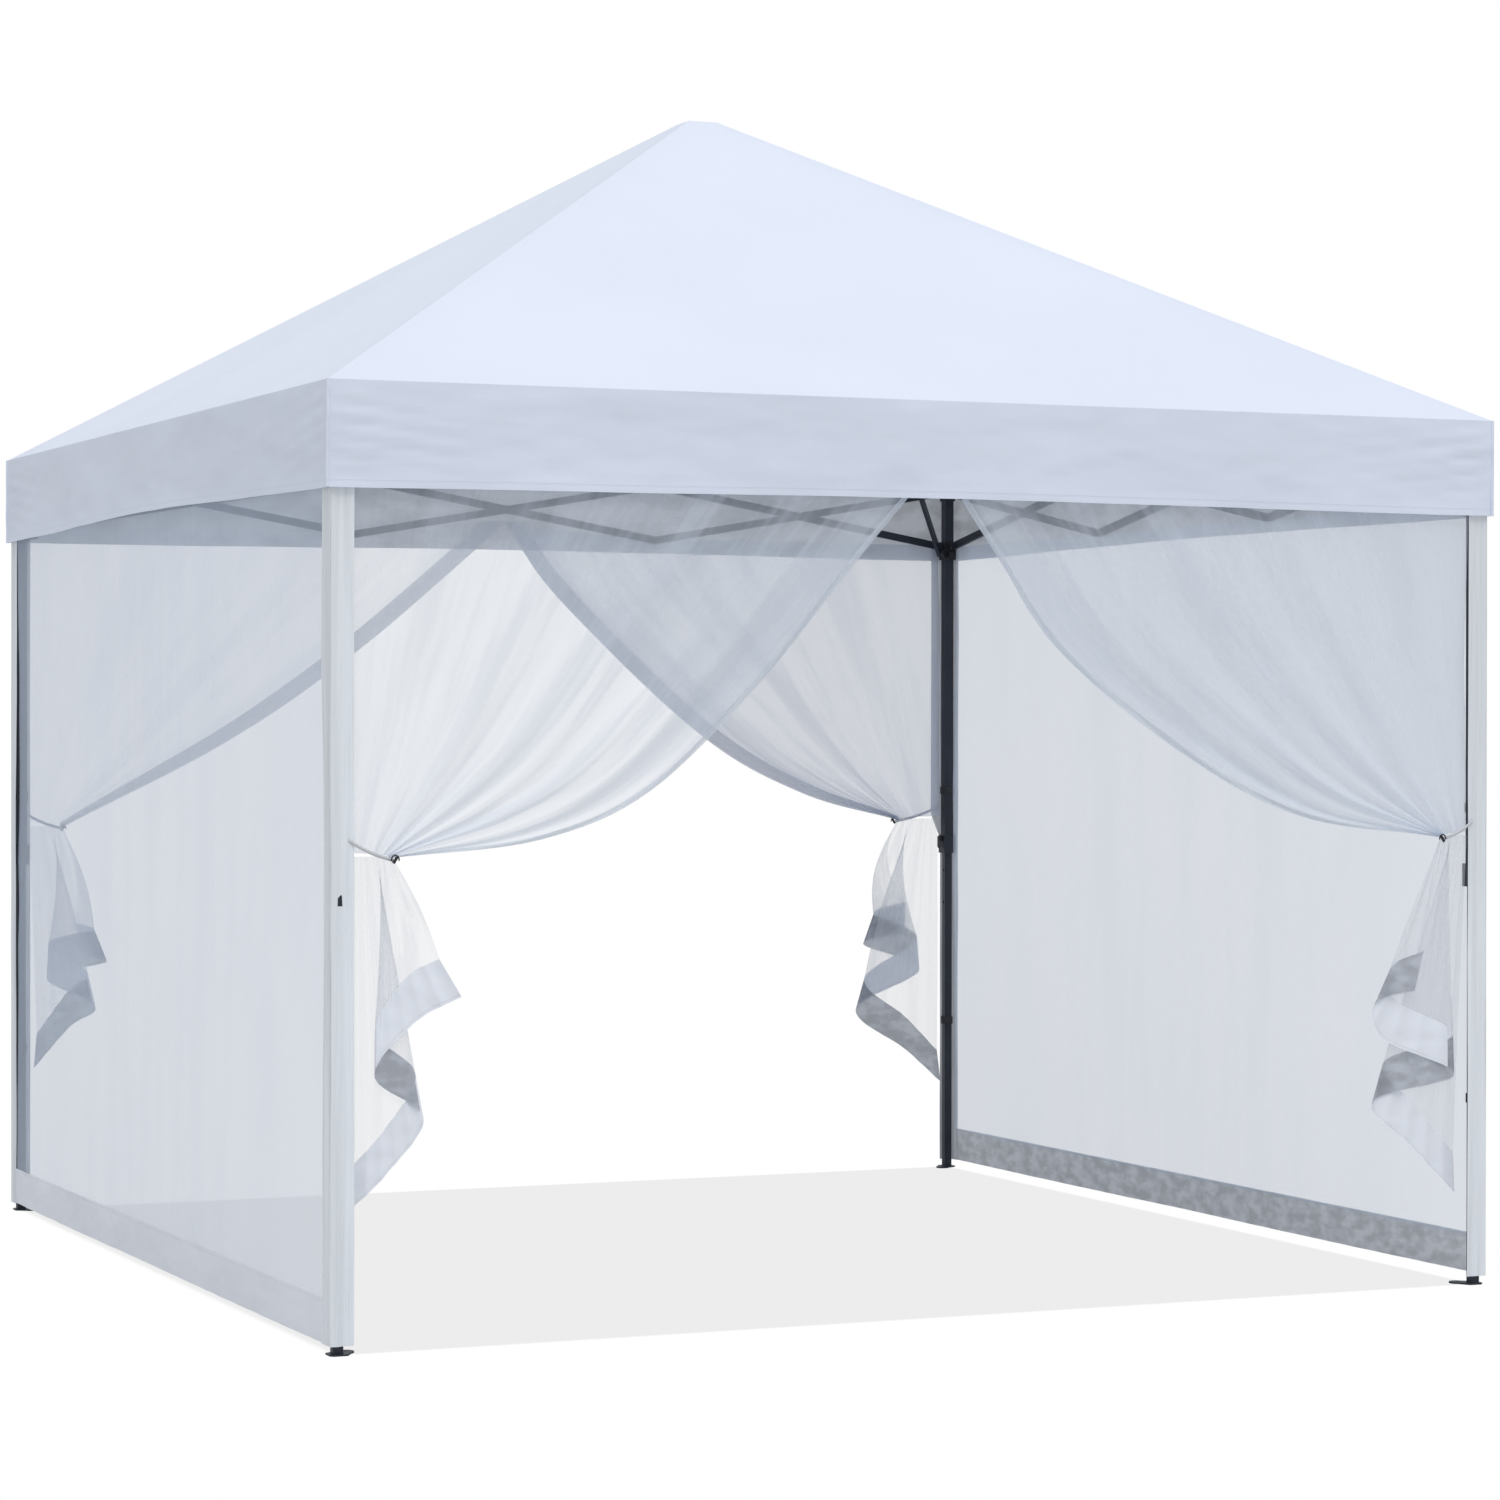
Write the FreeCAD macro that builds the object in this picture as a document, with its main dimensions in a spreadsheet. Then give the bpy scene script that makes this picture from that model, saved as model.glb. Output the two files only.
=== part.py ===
import FreeCAD, Part
import math
import os

import Sketcher
from FreeCAD import Placement, Rotation, Vector

# A pop up canopy: four telescoping legs, a folding truss along each side,
# a folding rafter and strut from each leg to a middle hub, a pyramid cover
# with a valance, and a set of net walls.
# Millimetres, +Z up, origin on the floor under the hub.
# The front is -Y. Leg 0 is front left, then 1 front right, 2 rear right, 3 rear left.

doc = FreeCAD.newDocument("pop_up_canopy")

# Driving sizes
SIZES = {
    # frame layout
    "leg_spacing": 2950.0,
    "eave_overhang": 25.0,
    "eave_height": 2143.0,
    "peak_height": 2993.0,
    "peak_flat": 80.0,
    # clearances
    "seat_gap": 0.3,
    "plane_gap": 0.4,
    "arm_clearance": 2.0,
    "slide_gap": 0.4,
    # legs
    "outer_tube": 30.0,
    "outer_wall": 1.5,
    "inner_tube": 24.0,
    "inner_wall": 1.4,
    "tube_corner": 2.0,
    "collar_base": 988.0,
    "collar_height": 57.0,
    "collar_width": 40.0,
    "collar_lip": 8.0,
    "leg_overlap": 180.0,
    "hole_pitch": 100.0,
    "hole_diameter": 8.0,
    "button_drop": 12.0,
    "button_boss": 18.0,
    "button_reach": 7.0,
    "button_tab": 16.0,
    "button_hang": 22.0,
    "button_plate": 3.0,
    "button_shank": 7.0,
    "foot_plate": 4.0,
    "foot_side": 40.0,
    "foot_corner": 8.0,
    "foot_lobe": 20.0,
    "foot_lobe_in": 28.0,
    "stake_hole": 9.0,
    # truss
    "truss_drop": 26.0,
    "truss_rise": 166.0,
    "truss_inset": 33.0,
    "bar_depth": 22.0,
    "bar_width": 11.0,
    "rivet_head": 13.0,
    "rivet_rise": 1.5,
    # leg head and slider
    "head_width": 36.0,
    "head_skirt": 52.0,
    "slider_width": 40.0,
    "slider_above": 14.0,
    "slider_below": 42.0,
    "strut_drop": 25.0,
    "strut_inset": 45.0,
    "lug_radius": 9.0,
    # rafters, struts and hub
    "rafter_inset": 45.0,
    "rafter_depth": 25.0,
    "rafter_width": 12.0,
    "cheek_width": 4.0,
    "cheek_radius": 10.0,
    "folded_lean": 1.3,
    "strut_depth": 20.0,
    "strut_width": 10.0,
    "hub_inset": 60.0,
    "hub_core": 28.0,
    "hub_crown": 38.0,
    "hub_skirt": 24.0,
    # cover and nets
    "cover_cloth": 1.5,
    "valance_drop": 236.0,
    "cloth_gap": 0.9,
    "sleeve_cloth": 1.2,
    "sleeve_reach": 32.0,
    "net_cloth": 1.0,
    "hem_clear": 22.0,
    "hem_band": 100.0,
    "door_gap": 35.0,
    "door_sag": 2.1,
    "tie_height": 1098.0,
    "tie_inset": 88.0,
    "tie_bundle": 56.0,
    "pleats": 8,
    "pleat_top": 3.5,
    "pleat_depth": 34.0,
    "flap_low": 225.0,
    "flap_slant": 60.0,
    "flap_reach_front": 250.0,
    "flap_reach_rear": 285.0,
    "webbing": 1.5,
    "strap_width": 23.0,
    "strap_high": 1184.0,
    "strap_low": 462.0,
}

# Sizes that follow from the driving ones
s = SIZES
half = s["leg_spacing"] / 2
eave_half = half + s["eave_overhang"]
bar_run = (s["leg_spacing"] - 2 * s["truss_inset"]) / 3
bar_span = math.hypot(bar_run, s["truss_rise"])
bar_angle = math.atan2(s["truss_rise"], bar_run)
truss_top = s["eave_height"] - s["truss_drop"]
truss_bottom = truss_top - s["truss_rise"]
plane_centre = (s["plane_gap"] + s["bar_width"]) / 2

# The cover's slope, square to a side and along a hip
side_slope = (s["peak_height"] - s["eave_height"]) / (eave_half - s["peak_flat"] / 2)
hip_slope = side_slope / math.sqrt(2)
hip_angle = math.atan(hip_slope)
cloth_fall = s["cover_cloth"] * math.hypot(1, side_slope)
hip_reach = half * math.sqrt(2)
hip_overhang = s["eave_overhang"] * math.sqrt(2)


def under_hip(inset):
    # height of the cover's underside, this far in from a leg along the hip
    return s["eave_height"] + (inset + hip_overhang) * hip_slope - cloth_fall


rafter_pivot = under_hip(s["rafter_inset"]) - s["seat_gap"]
rafter_pivot -= s["rafter_depth"] / 2 / math.cos(hip_angle)
# the cover falls away beside the hip, where the upper rafter lies
rafter_pivot -= (1.5 * s["rafter_width"] + s["plane_gap"]) * hip_slope
rafter_run = hip_reach - s["rafter_inset"] - s["hub_inset"]
rafter_span = rafter_run / 2 / math.cos(hip_angle)
hub_pivot = rafter_pivot + rafter_run * hip_slope
head_top = under_hip(-s["head_width"] / math.sqrt(2)) - s["seat_gap"]
crown_top = s["peak_height"] - cloth_fall - s["seat_gap"]
strut_pivot = truss_bottom - s["strut_drop"]

# The folded frame, which sets where the strut meets the rafter
folded_tilt = math.radians(90 - s["folded_lean"])
folded_hip = s["rafter_inset"] + s["hub_inset"] + 2 * rafter_span * math.cos(folded_tilt)
folded_spacing = folded_hip * math.sqrt(2)
folded_bar = math.acos((folded_spacing - 2 * s["truss_inset"]) / 3 / bar_span)
folded_slider = truss_top - bar_span * math.sin(folded_bar)
strut_fall = rafter_pivot - strut_pivot
folded_fall = rafter_pivot - (folded_slider - s["strut_drop"])
strut_offset = s["rafter_inset"] - s["strut_inset"]
rest_lean = strut_offset * math.cos(hip_angle) + strut_fall * math.sin(hip_angle)
fold_lean = strut_offset * math.cos(folded_tilt) - folded_fall * math.sin(folded_tilt)
strut_seat = (folded_fall ** 2 - strut_fall ** 2) / 2 / (rest_lean - fold_lean)
strut_x = strut_offset + strut_seat * math.cos(hip_angle)
strut_z = strut_fall + strut_seat * math.sin(hip_angle)
strut_span = math.hypot(strut_x, strut_z)
strut_angle = math.atan2(strut_z, strut_x)
folded_x = strut_offset + strut_seat * math.cos(folded_tilt)
folded_z = folded_fall - strut_seat * math.sin(folded_tilt)
folded_strut = math.atan2(folded_z, folded_x)

DERIVED = {
    "eave_side": 2 * eave_half,
    "bar_span": bar_span,
    "truss_top": truss_top,
    "truss_bottom": truss_bottom,
    "rafter_span": rafter_span,
    "rafter_pivot": rafter_pivot,
    "hub_pivot": hub_pivot,
    "head_top": head_top,
    "crown_top": crown_top,
    "strut_pivot": strut_pivot,
    "strut_seat": strut_seat,
    "strut_span": strut_span,
    "cloth_fall": cloth_fall,
    "side_slope": side_slope,
}


def make_sheet(name, values):
    sheet = doc.addObject("Spreadsheet::Sheet", name)
    for row, (alias, value) in enumerate(values.items(), start=1):
        sheet.set("A%d" % row, alias)
        sheet.set("B%d" % row, repr(float(value)))
        sheet.setAlias("B%d" % row, alias)
    return sheet


sizes = make_sheet("Sizes", SIZES)
derived = make_sheet("Derived", DERIVED)
doc.recompute()


def number(expression):
    # the value of an expression on the sheets
    return float(sizes.evalExpression(expression))


# Building blocks: each size is an expression on the sheets
def bind(item, sizes_by_property):
    for name, expression in sizes_by_property.items():
        item.setExpression(name, expression)
    return item


def at(item, x="0", y="0", z="0"):
    places = {"x": x, "y": y, "z": z}
    for axis, expression in places.items():
        item.setExpression("Placement.Base." + axis, expression)
    return item


def box(length, width, height, x="0", y="0", z="0"):
    item = doc.addObject("Part::Box", "Block")
    bind(item, {"Length": length, "Width": width, "Height": height})
    return at(item, x, y, z)


def centred_box(length, width, height, x="0", y="0", z="0"):
    low_x = "%s - (%s) / 2" % (x, length)
    low_y = "%s - (%s) / 2" % (y, width)
    return box(length, width, height, low_x, low_y, z)


def rod(radius, height, axis, x="0", y="0", z="0"):
    # a cylinder along +axis from the point
    item = doc.addObject("Part::Cylinder", "Rod")
    bind(item, {"Radius": radius, "Height": height})
    turns = {"x": (Vector(0, 1, 0), 90), "y": (Vector(1, 0, 0), -90), "z": (Vector(0, 0, 1), 0)}
    item.Placement = Placement(Vector(0, 0, 0), Rotation(*turns[axis]))
    return at(item, x, y, z)


def fuse(*items):
    item = doc.addObject("Part::MultiFuse", "Joined")
    item.Shapes = list(items)
    item.Refine = True
    return item


def cut(base, tool):
    item = doc.addObject("Part::Cut", "Cut")
    item.Base = base
    item.Tool = tool
    item.Refine = True
    return item


def gather(*items):
    # separate solids that move as one piece
    item = doc.addObject("Part::Compound", "Group")
    item.Links = list(items)
    return item


def turned(item, angle):
    item.Placement = Placement(Vector(0, 0, 0), Rotation(Vector(0, 0, 1), angle))
    return item


def plane(body, role):
    return [o for o in body.Origin.OriginFeatures if o.Role == role][0]


def sketch_on(body, role, offset="0"):
    sketch = body.newObject("Sketcher::SketchObject", "Outline")
    sketch.AttachmentSupport = [(plane(body, role), "")]
    sketch.MapMode = "FlatFace"
    sketch.setExpression("AttachmentOffset.Base.z", offset)
    return sketch


def constrain(sketch, kind, *where, name=None, expression=None):
    value = [number(expression)] if expression else []
    index = sketch.addConstraint(Sketcher.Constraint(kind, *where, *value))
    if name:
        sketch.renameConstraint(index, name)
        sketch.setExpression("Constraints." + name, expression)


def pad(body, sketch, length, symmetric=False, reverse=False):
    item = body.newObject("PartDesign::Pad", "Pad")
    item.Profile = sketch
    item.SideType = "Symmetric" if symmetric else "One side"
    item.Reversed = reverse
    item.setExpression("Length", length)
    body.Tip = item
    sketch.Visibility = False
    return item


def link_bar(span, depth, width, rivet=None):
    # a flat bar with round ends about its pivots: the first at the origin, its length along X,
    # its width along Y, and the head of its middle rivet on the -Y face
    body = doc.addObject("PartDesign::Body", "Bar")
    sketch = sketch_on(body, "XZ_Plane")
    long, radius = number(span), number(depth) / 2
    up = Vector(0, 0, 1)
    top = Part.LineSegment(Vector(0, radius, 0), Vector(long, radius, 0))
    far_end = Part.Circle(Vector(long, 0, 0), up, radius)
    low = Part.LineSegment(Vector(long, -radius, 0), Vector(0, -radius, 0))
    near_end = Part.Circle(Vector(0, 0, 0), up, radius)
    quarter = math.pi / 2
    sketch.addGeometry(top, False)
    sketch.addGeometry(Part.ArcOfCircle(far_end, -quarter, quarter), False)
    sketch.addGeometry(low, False)
    sketch.addGeometry(Part.ArcOfCircle(near_end, quarter, 3 * quarter), False)
    constrain(sketch, "Tangent", 0, 2, 1, 2)
    constrain(sketch, "Tangent", 1, 1, 2, 1)
    constrain(sketch, "Tangent", 0, 1, 3, 1)
    constrain(sketch, "Tangent", 2, 2, 3, 2)
    constrain(sketch, "Coincident", 3, 3, -1, 1)
    constrain(sketch, "PointOnObject", 1, 3, -1)
    constrain(sketch, "Equal", 1, 3)
    constrain(sketch, "DistanceX", -1, 1, 1, 3, name="span", expression=span)
    constrain(sketch, "Radius", 3, name="end", expression="(%s) / 2" % depth)
    pad(body, sketch, width, symmetric=True)
    if rivet:
        head = sketch_on(body, "XZ_Plane")
        centre = Vector(number(rivet), 0, 0)
        size = number("Sizes.rivet_head") / 2
        head.addGeometry(Part.Circle(centre, up, size), False)
        constrain(head, "PointOnObject", 0, 3, -1)
        constrain(head, "DistanceX", -1, 1, 0, 3, name="place", expression=rivet)
        constrain(head, "Diameter", 0, name="head", expression="Sizes.rivet_head")
        pad(body, head, "(%s) / 2 + Sizes.rivet_rise" % width)
    return body


def outline(sketch, corners):
    # a closed outline of straight runs, each corner placed by two expressions
    points = [Vector(number(x), number(y), 0) for x, y in corners]
    first = sketch.GeometryCount
    count = len(points)
    for index in range(count):
        run = Part.LineSegment(points[index], points[(index + 1) % count])
        sketch.addGeometry(run, False)
    for index in range(count):
        after = first + (index + 1) % count
        constrain(sketch, "Coincident", first + index, 2, after, 1)
    for index, (x, y) in enumerate(corners):
        tag = str(first + index)
        constrain(sketch, "DistanceX", -1, 1, first + index, 1, name="x" + tag, expression=x)
        constrain(sketch, "DistanceY", -1, 1, first + index, 1, name="y" + tag, expression=y)


def square_tube(side, wall, low, height):
    # a square tube with eased corners, standing on z = low
    body = doc.addObject("PartDesign::Body", "Tube")
    sketch = sketch_on(body, "XY_Plane", low)
    reach = "(%s) / 2" % side
    flat = "(%s) / 2 - Sizes.tube_corner" % side
    bore = "(%s) / 2 - (%s)" % (side, wall)
    corners = []
    for far_x, far_y in ((1, 1), (-1, 1), (-1, -1), (1, -1)):
        near = ("%d * (%s)" % (far_x, flat), "%d * (%s)" % (far_y, reach))
        away = ("%d * (%s)" % (far_x, reach), "%d * (%s)" % (far_y, flat))
        corners += [away, near] if far_x == far_y else [near, away]
    outline(sketch, corners)
    signs = ((1, 1), (-1, 1), (-1, -1), (1, -1))
    outline(sketch, [("%d * (%s)" % (x, bore), "%d * (%s)" % (y, bore)) for x, y in signs])
    pad(body, sketch, height)
    return body


def arm(side, face, rise, length, radius):
    # a round-ended arm one bar wide beside the truss plane, from the leg's axis outwards
    # side: "x" or "y", the way it points; face: its low edge across
    width = "Sizes.bar_width"
    low = "%s - %s" % (rise, radius)
    if side == "x":
        block = box(length, width, "2 * (%s)" % radius, "0", face, low)
        end = rod(radius, width, "y", length, face, rise)
    else:
        block = box(width, length, "2 * (%s)" % radius, face, "0", low)
        end = rod(radius, width, "x", face, length, rise)
    return fuse(block, end)


INNER_PLANE = "Sizes.plane_gap / 2"
OUTER_PLANE = "-(Sizes.plane_gap / 2 + Sizes.bar_width)"
ARM = "Sizes.bar_depth / 2"
INSET = "Sizes.truss_inset"
BUTTON = "Sizes.collar_base + Sizes.collar_height - Sizes.button_drop"


def upper_leg():
    # outer tube, leg head with its arms and rafter cheeks, and the lock collar
    tube_low = "Sizes.collar_base + Sizes.collar_lip"
    skirt_low = "Derived.head_top - Sizes.head_skirt"
    tube_tall = "%s - (%s)" % (skirt_low, tube_low)
    tube = square_tube("Sizes.outer_tube", "Sizes.outer_wall", tube_low, tube_tall)
    slot = "Sizes.button_shank + 2 * Sizes.seat_gap"
    slot_low = "%s - (%s) / 2" % (BUTTON, slot)
    window = centred_box("Sizes.outer_tube", slot, slot, "Sizes.outer_tube / 2", "0", slot_low)
    tube = cut(tube, window)

    head = centred_box("Sizes.head_width", "Sizes.head_width", "Sizes.head_skirt", z=skirt_low)
    start_arm = arm("x", INNER_PLANE, "Derived.truss_top", INSET, ARM)
    end_arm = arm("y", OUTER_PLANE, "Derived.truss_top", INSET, ARM)
    cheek_low = "Derived.truss_top + Sizes.bar_depth / 2 + Sizes.arm_clearance"
    cheek_tall = "Derived.rafter_pivot - (%s)" % cheek_low
    inner = "Sizes.rafter_width / 2 + Sizes.seat_gap"
    cheeks = []
    for low in (inner, "-(%s) - Sizes.cheek_width" % inner):
        block = box("Sizes.rafter_inset - Sizes.cheek_radius", "Sizes.cheek_width", cheek_tall,
                    "Sizes.cheek_radius", low, cheek_low)
        end = rod("Sizes.cheek_radius", "Sizes.cheek_width", "y",
                  "Sizes.rafter_inset", low, "Derived.rafter_pivot")
        cheeks += [block, end]
    head = fuse(head, start_arm, end_arm, turned(fuse(*cheeks), 45))

    collar = centred_box("Sizes.collar_width", "Sizes.collar_width", "Sizes.collar_height",
                         z="Sizes.collar_base")
    boss_low = "%s - Sizes.button_boss / 2" % BUTTON
    boss = centred_box("Sizes.button_reach", "Sizes.button_boss", "Sizes.button_boss",
                       "(Sizes.collar_width + Sizes.button_reach) / 2", "0", boss_low)
    tube_bore = "Sizes.outer_tube + Sizes.seat_gap"
    leg_bore = "Sizes.inner_tube + 2 * Sizes.slide_gap"
    seat = centred_box(tube_bore, tube_bore, "Sizes.collar_height", z=tube_low)
    throat_low = "Sizes.collar_base - Sizes.collar_lip"
    throat = centred_box(leg_bore, leg_bore, "Sizes.collar_height", z=throat_low)
    shaft = centred_box("Sizes.collar_width", slot, slot, "Sizes.collar_width / 2 + Sizes.button_reach",
                        "0", slot_low)
    collar = cut(fuse(collar, boss), fuse(seat, throat, shaft))
    return gather(tube, head, collar)


def lower_leg():
    # inner tube with its height holes, and the foot plate
    low = "Sizes.foot_plate"
    tall = "Sizes.collar_base + Sizes.leg_overlap - Sizes.foot_plate"
    tube = square_tube("Sizes.inner_tube", "Sizes.inner_wall", low, tall)
    holes = []
    for step in (1, 2):
        place = "%s - %d * Sizes.hole_pitch" % (BUTTON, step)
        holes.append(rod("Sizes.hole_diameter / 2", "Sizes.inner_tube", "x", z=place))
    tube = cut(tube, fuse(*holes))
    # the plate: a square under the tube, drawn in to a round lobe on the inner side
    body = doc.addObject("PartDesign::Body", "Plate")
    sketch = sketch_on(body, "XY_Plane")
    side = "Sizes.foot_side / 2"
    eased = "Sizes.foot_side / 2 - Sizes.foot_corner"
    lobe = "Sizes.foot_lobe_in"
    away = "Sizes.foot_lobe_in + Sizes.foot_lobe"
    corners = [
        ("-(%s)" % eased, "-(%s)" % side),
        (side, "-(%s)" % side),
        (away, lobe),
        (lobe, away),
        ("-(%s)" % side, side),
        ("-(%s)" % side, "-(%s)" % eased),
    ]
    outline(sketch, corners)
    pad(body, sketch, "Sizes.foot_plate")
    round_end = rod("Sizes.foot_lobe", "Sizes.foot_plate", "z", lobe, lobe)
    stake = rod("Sizes.stake_hole / 2", "Sizes.foot_plate", "z", lobe, lobe)
    return gather(tube, cut(fuse(body, round_end), stake))


def leg_button():
    # spring pin in the collar's boss, with a pull tab that hangs from it
    face = "Sizes.collar_width / 2 + Sizes.button_reach + Sizes.seat_gap"
    tip = "Sizes.inner_tube / 2 + Sizes.seat_gap"
    shank = "Sizes.button_shank"
    long = "%s - (%s)" % (face, tip)
    pin = box(long, shank, shank, tip, "-%s / 2" % shank, "%s - %s / 2" % (BUTTON, shank))
    low = "%s - Sizes.button_hang" % BUTTON
    tab = box("Sizes.button_plate", "Sizes.button_tab", "Sizes.button_hang + Sizes.button_tab / 2",
              face, "-Sizes.button_tab / 2", low)
    low_end = rod("Sizes.button_tab / 2", "Sizes.button_plate", "x", face, "0", low)
    return fuse(pin, tab, low_end)


RELEASE = "Derived.truss_bottom - (Sizes.slider_below + Sizes.bar_depth / 2) / 2"


def slider():
    # sleeve on the outer tube, with arms for both trusses, a lug for the strut
    # and a boss for the release
    low = "Derived.truss_bottom - Sizes.slider_below"
    tall = "Sizes.slider_below + Sizes.slider_above"
    sleeve = centred_box("Sizes.slider_width", "Sizes.slider_width", tall, z=low)
    start_arm = arm("x", OUTER_PLANE, "Derived.truss_bottom", INSET, ARM)
    end_arm = arm("y", INNER_PLANE, "Derived.truss_bottom", INSET, ARM)
    lug_low = "Derived.strut_pivot - Sizes.lug_radius"
    lug = centred_box("Sizes.strut_inset", "Sizes.rafter_width", "2 * Sizes.lug_radius",
                      "Sizes.strut_inset / 2", "0", lug_low)
    lug_end = rod("Sizes.lug_radius", "Sizes.rafter_width", "y", "Sizes.strut_inset",
                  "-Sizes.rafter_width / 2", "Derived.strut_pivot")
    boss_low = "%s - Sizes.button_boss / 2" % RELEASE
    boss = centred_box("Sizes.button_boss", "Sizes.button_reach", "Sizes.button_boss",
                       "0", "(Sizes.slider_width + Sizes.button_reach) / 2", boss_low)
    bore_side = "Sizes.outer_tube + 2 * Sizes.slide_gap"
    bore = centred_box(bore_side, bore_side, "3 * (%s)" % tall, z="%s - (%s)" % (low, tall))
    slot = "Sizes.button_shank + 2 * Sizes.seat_gap"
    shaft = centred_box(slot, "Sizes.slider_width", slot, "0",
                        "Sizes.slider_width / 2 + Sizes.button_reach", "%s - (%s) / 2" % (RELEASE, slot))
    body = fuse(sleeve, start_arm, end_arm, turned(fuse(lug, lug_end), 45), boss)
    return cut(body, fuse(bore, shaft))


def slider_pin():
    # spring release that holds the slider at the top of the leg, with a thumb plate
    face = "Sizes.slider_width / 2 + Sizes.button_reach + Sizes.seat_gap"
    tip = "Sizes.outer_tube / 2 + Sizes.seat_gap"
    shank = "Sizes.button_shank"
    pin_low = "%s - %s / 2" % (RELEASE, shank)
    pin = box(shank, "%s - (%s)" % (face, tip), shank, "-%s / 2" % shank, tip, pin_low)
    thumb = centred_box("Sizes.button_tab", "Sizes.button_plate", "Sizes.button_tab",
                        "0", "%s + Sizes.button_plate / 2" % face, "%s - Sizes.button_tab / 2" % RELEASE)
    return fuse(pin, thumb)


# Each truss bar: where it starts along the side, and whether it rises from there.
# Falling bars lie in the outer plane and carry the rivets, rising bars in the inner plane.
BARS = {
    "bar_fall_1": (0, -1),
    "bar_fall_2": (1, -1),
    "bar_fall_3": (2, -1),
    "bar_rise_1": (0, 1),
    "bar_rise_2": (1, 1),
    "bar_rise_3": (2, 1),
}


def truss_bar(name):
    count, slope = BARS[name]
    rivet = "Derived.bar_span / 2" if slope < 0 else None
    body = link_bar("Derived.bar_span", "Sizes.bar_depth", "Sizes.bar_width", rivet)
    start = Vector(s["truss_inset"] + count * bar_run, slope * plane_centre, truss_top)
    if slope > 0:
        start.z = truss_bottom
    body.Placement = Placement(start, Rotation(Vector(0, 1, 0), -slope * math.degrees(bar_angle)))
    return gather(body)


def in_hip_plane(body, inset, across, rise, angle):
    # a bar in the upright plane through the leg and the hub
    tilt = Rotation(Vector(0, 1, 0), -math.degrees(angle))
    body.Placement = Placement(Vector(inset, across, rise), tilt)
    return turned(gather(body), 45)


def lower_rafter():
    # from the leg head to the rafter's knuckle
    body = link_bar("Derived.rafter_span", "Sizes.rafter_depth", "Sizes.rafter_width")
    return in_hip_plane(body, s["rafter_inset"], 0, rafter_pivot, hip_angle)


def upper_rafter():
    # from the knuckle to the hub, beside the lower rafter so that the two fold flat
    body = link_bar("Derived.rafter_span", "Sizes.rafter_depth", "Sizes.rafter_width")
    inset = s["rafter_inset"] + rafter_run / 2
    rise = rafter_pivot + rafter_run / 2 * hip_slope
    return in_hip_plane(body, inset, s["rafter_width"] + s["plane_gap"], rise, hip_angle)


def strut():
    # from the slider's lug to the lower rafter
    body = link_bar("Derived.strut_span", "Sizes.strut_depth", "Sizes.strut_width")
    across = -(s["rafter_width"] + s["strut_width"]) / 2 - s["plane_gap"]
    return in_hip_plane(body, s["strut_inset"], across, strut_pivot, strut_angle)


def hub():
    # middle hub: core, crown under the cover, and an arm beside each upper rafter
    low = "Derived.hub_pivot - Sizes.hub_skirt"
    core = rod("Sizes.hub_core", "Derived.crown_top - (%s)" % low, "z", z=low)
    crown_low = "Derived.hub_pivot + Sizes.cheek_radius"
    crown = rod("Sizes.hub_crown", "Derived.crown_top - (%s)" % crown_low, "z", z=crown_low)
    arms = []
    for count in range(4):
        block = centred_box("Sizes.hub_inset", "Sizes.rafter_width", "2 * Sizes.cheek_radius",
                            "Sizes.hub_inset / 2", "0", "Derived.hub_pivot - Sizes.cheek_radius")
        end = rod("Sizes.cheek_radius", "Sizes.rafter_width", "y", "Sizes.hub_inset",
                  "-Sizes.rafter_width / 2", "Derived.hub_pivot")
        arms.append(turned(fuse(block, end), 45 + 90 * count))
    return fuse(core, crown, *arms)


def leg_frame(corner):
    stand = Placement(Vector(-half, -half, 0), Rotation())
    return Placement(Vector(0, 0, 0), Rotation(Vector(0, 0, 1), 90 * corner)).multiply(stand)


CORNERS = ["front_left", "front_right", "rear_right", "rear_left"]
MAKERS = {
    "upper_leg": upper_leg,
    "lower_leg": lower_leg,
    "leg_button": leg_button,
    "slider": slider,
    "slider_pin": slider_pin,
    "lower_rafter": lower_rafter,
    "upper_rafter": upper_rafter,
    "strut": strut,
}

nodes = []


def keep(item, label, placement=None):
    if placement is not None:
        item.Placement = placement.multiply(item.Placement)
    item.Label = label
    nodes.append(item)


# The same corner four times about the hub
for corner, corner_name in enumerate(CORNERS):
    turn = leg_frame(corner)
    for maker_name, maker in MAKERS.items():
        keep(maker(), "%s_%s" % (maker_name, corner_name), turn)
    for bar_name in BARS:
        keep(truss_bar(bar_name), "%s_%s" % (bar_name, corner_name), turn)
keep(hub(), "hub")


# Cloth, built in the frame of the leg that it hangs from:
# X runs along the side to the next leg, -Y is outwards
def cover():
    # the roof, a blunt pyramid, and the valance below it, as one hollow skin
    side, cloth = "Derived.eave_side", "Sizes.cover_cloth"
    inner_side = "%s - 2 * %s" % (side, cloth)
    eave, drop = "Sizes.eave_height", "Sizes.valance_drop"
    skirt = centred_box(side, side, drop, z="%s - %s" % (eave, drop))
    room_top = "%s - Derived.cloth_fall + %s * Derived.side_slope" % (eave, cloth)
    room_low = "%s - %s - %s" % (eave, drop, cloth)
    room = centred_box(inner_side, inner_side, "%s - (%s)" % (room_top, room_low), z=room_low)
    flat = "Sizes.peak_flat / 2"
    roof = pyramid(side, eave, flat, "Sizes.peak_height")
    air = pyramid(inner_side, room_top, flat, "Sizes.peak_height - Derived.cloth_fall")
    return cut(fuse(skirt, roof), fuse(room, air))


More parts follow.
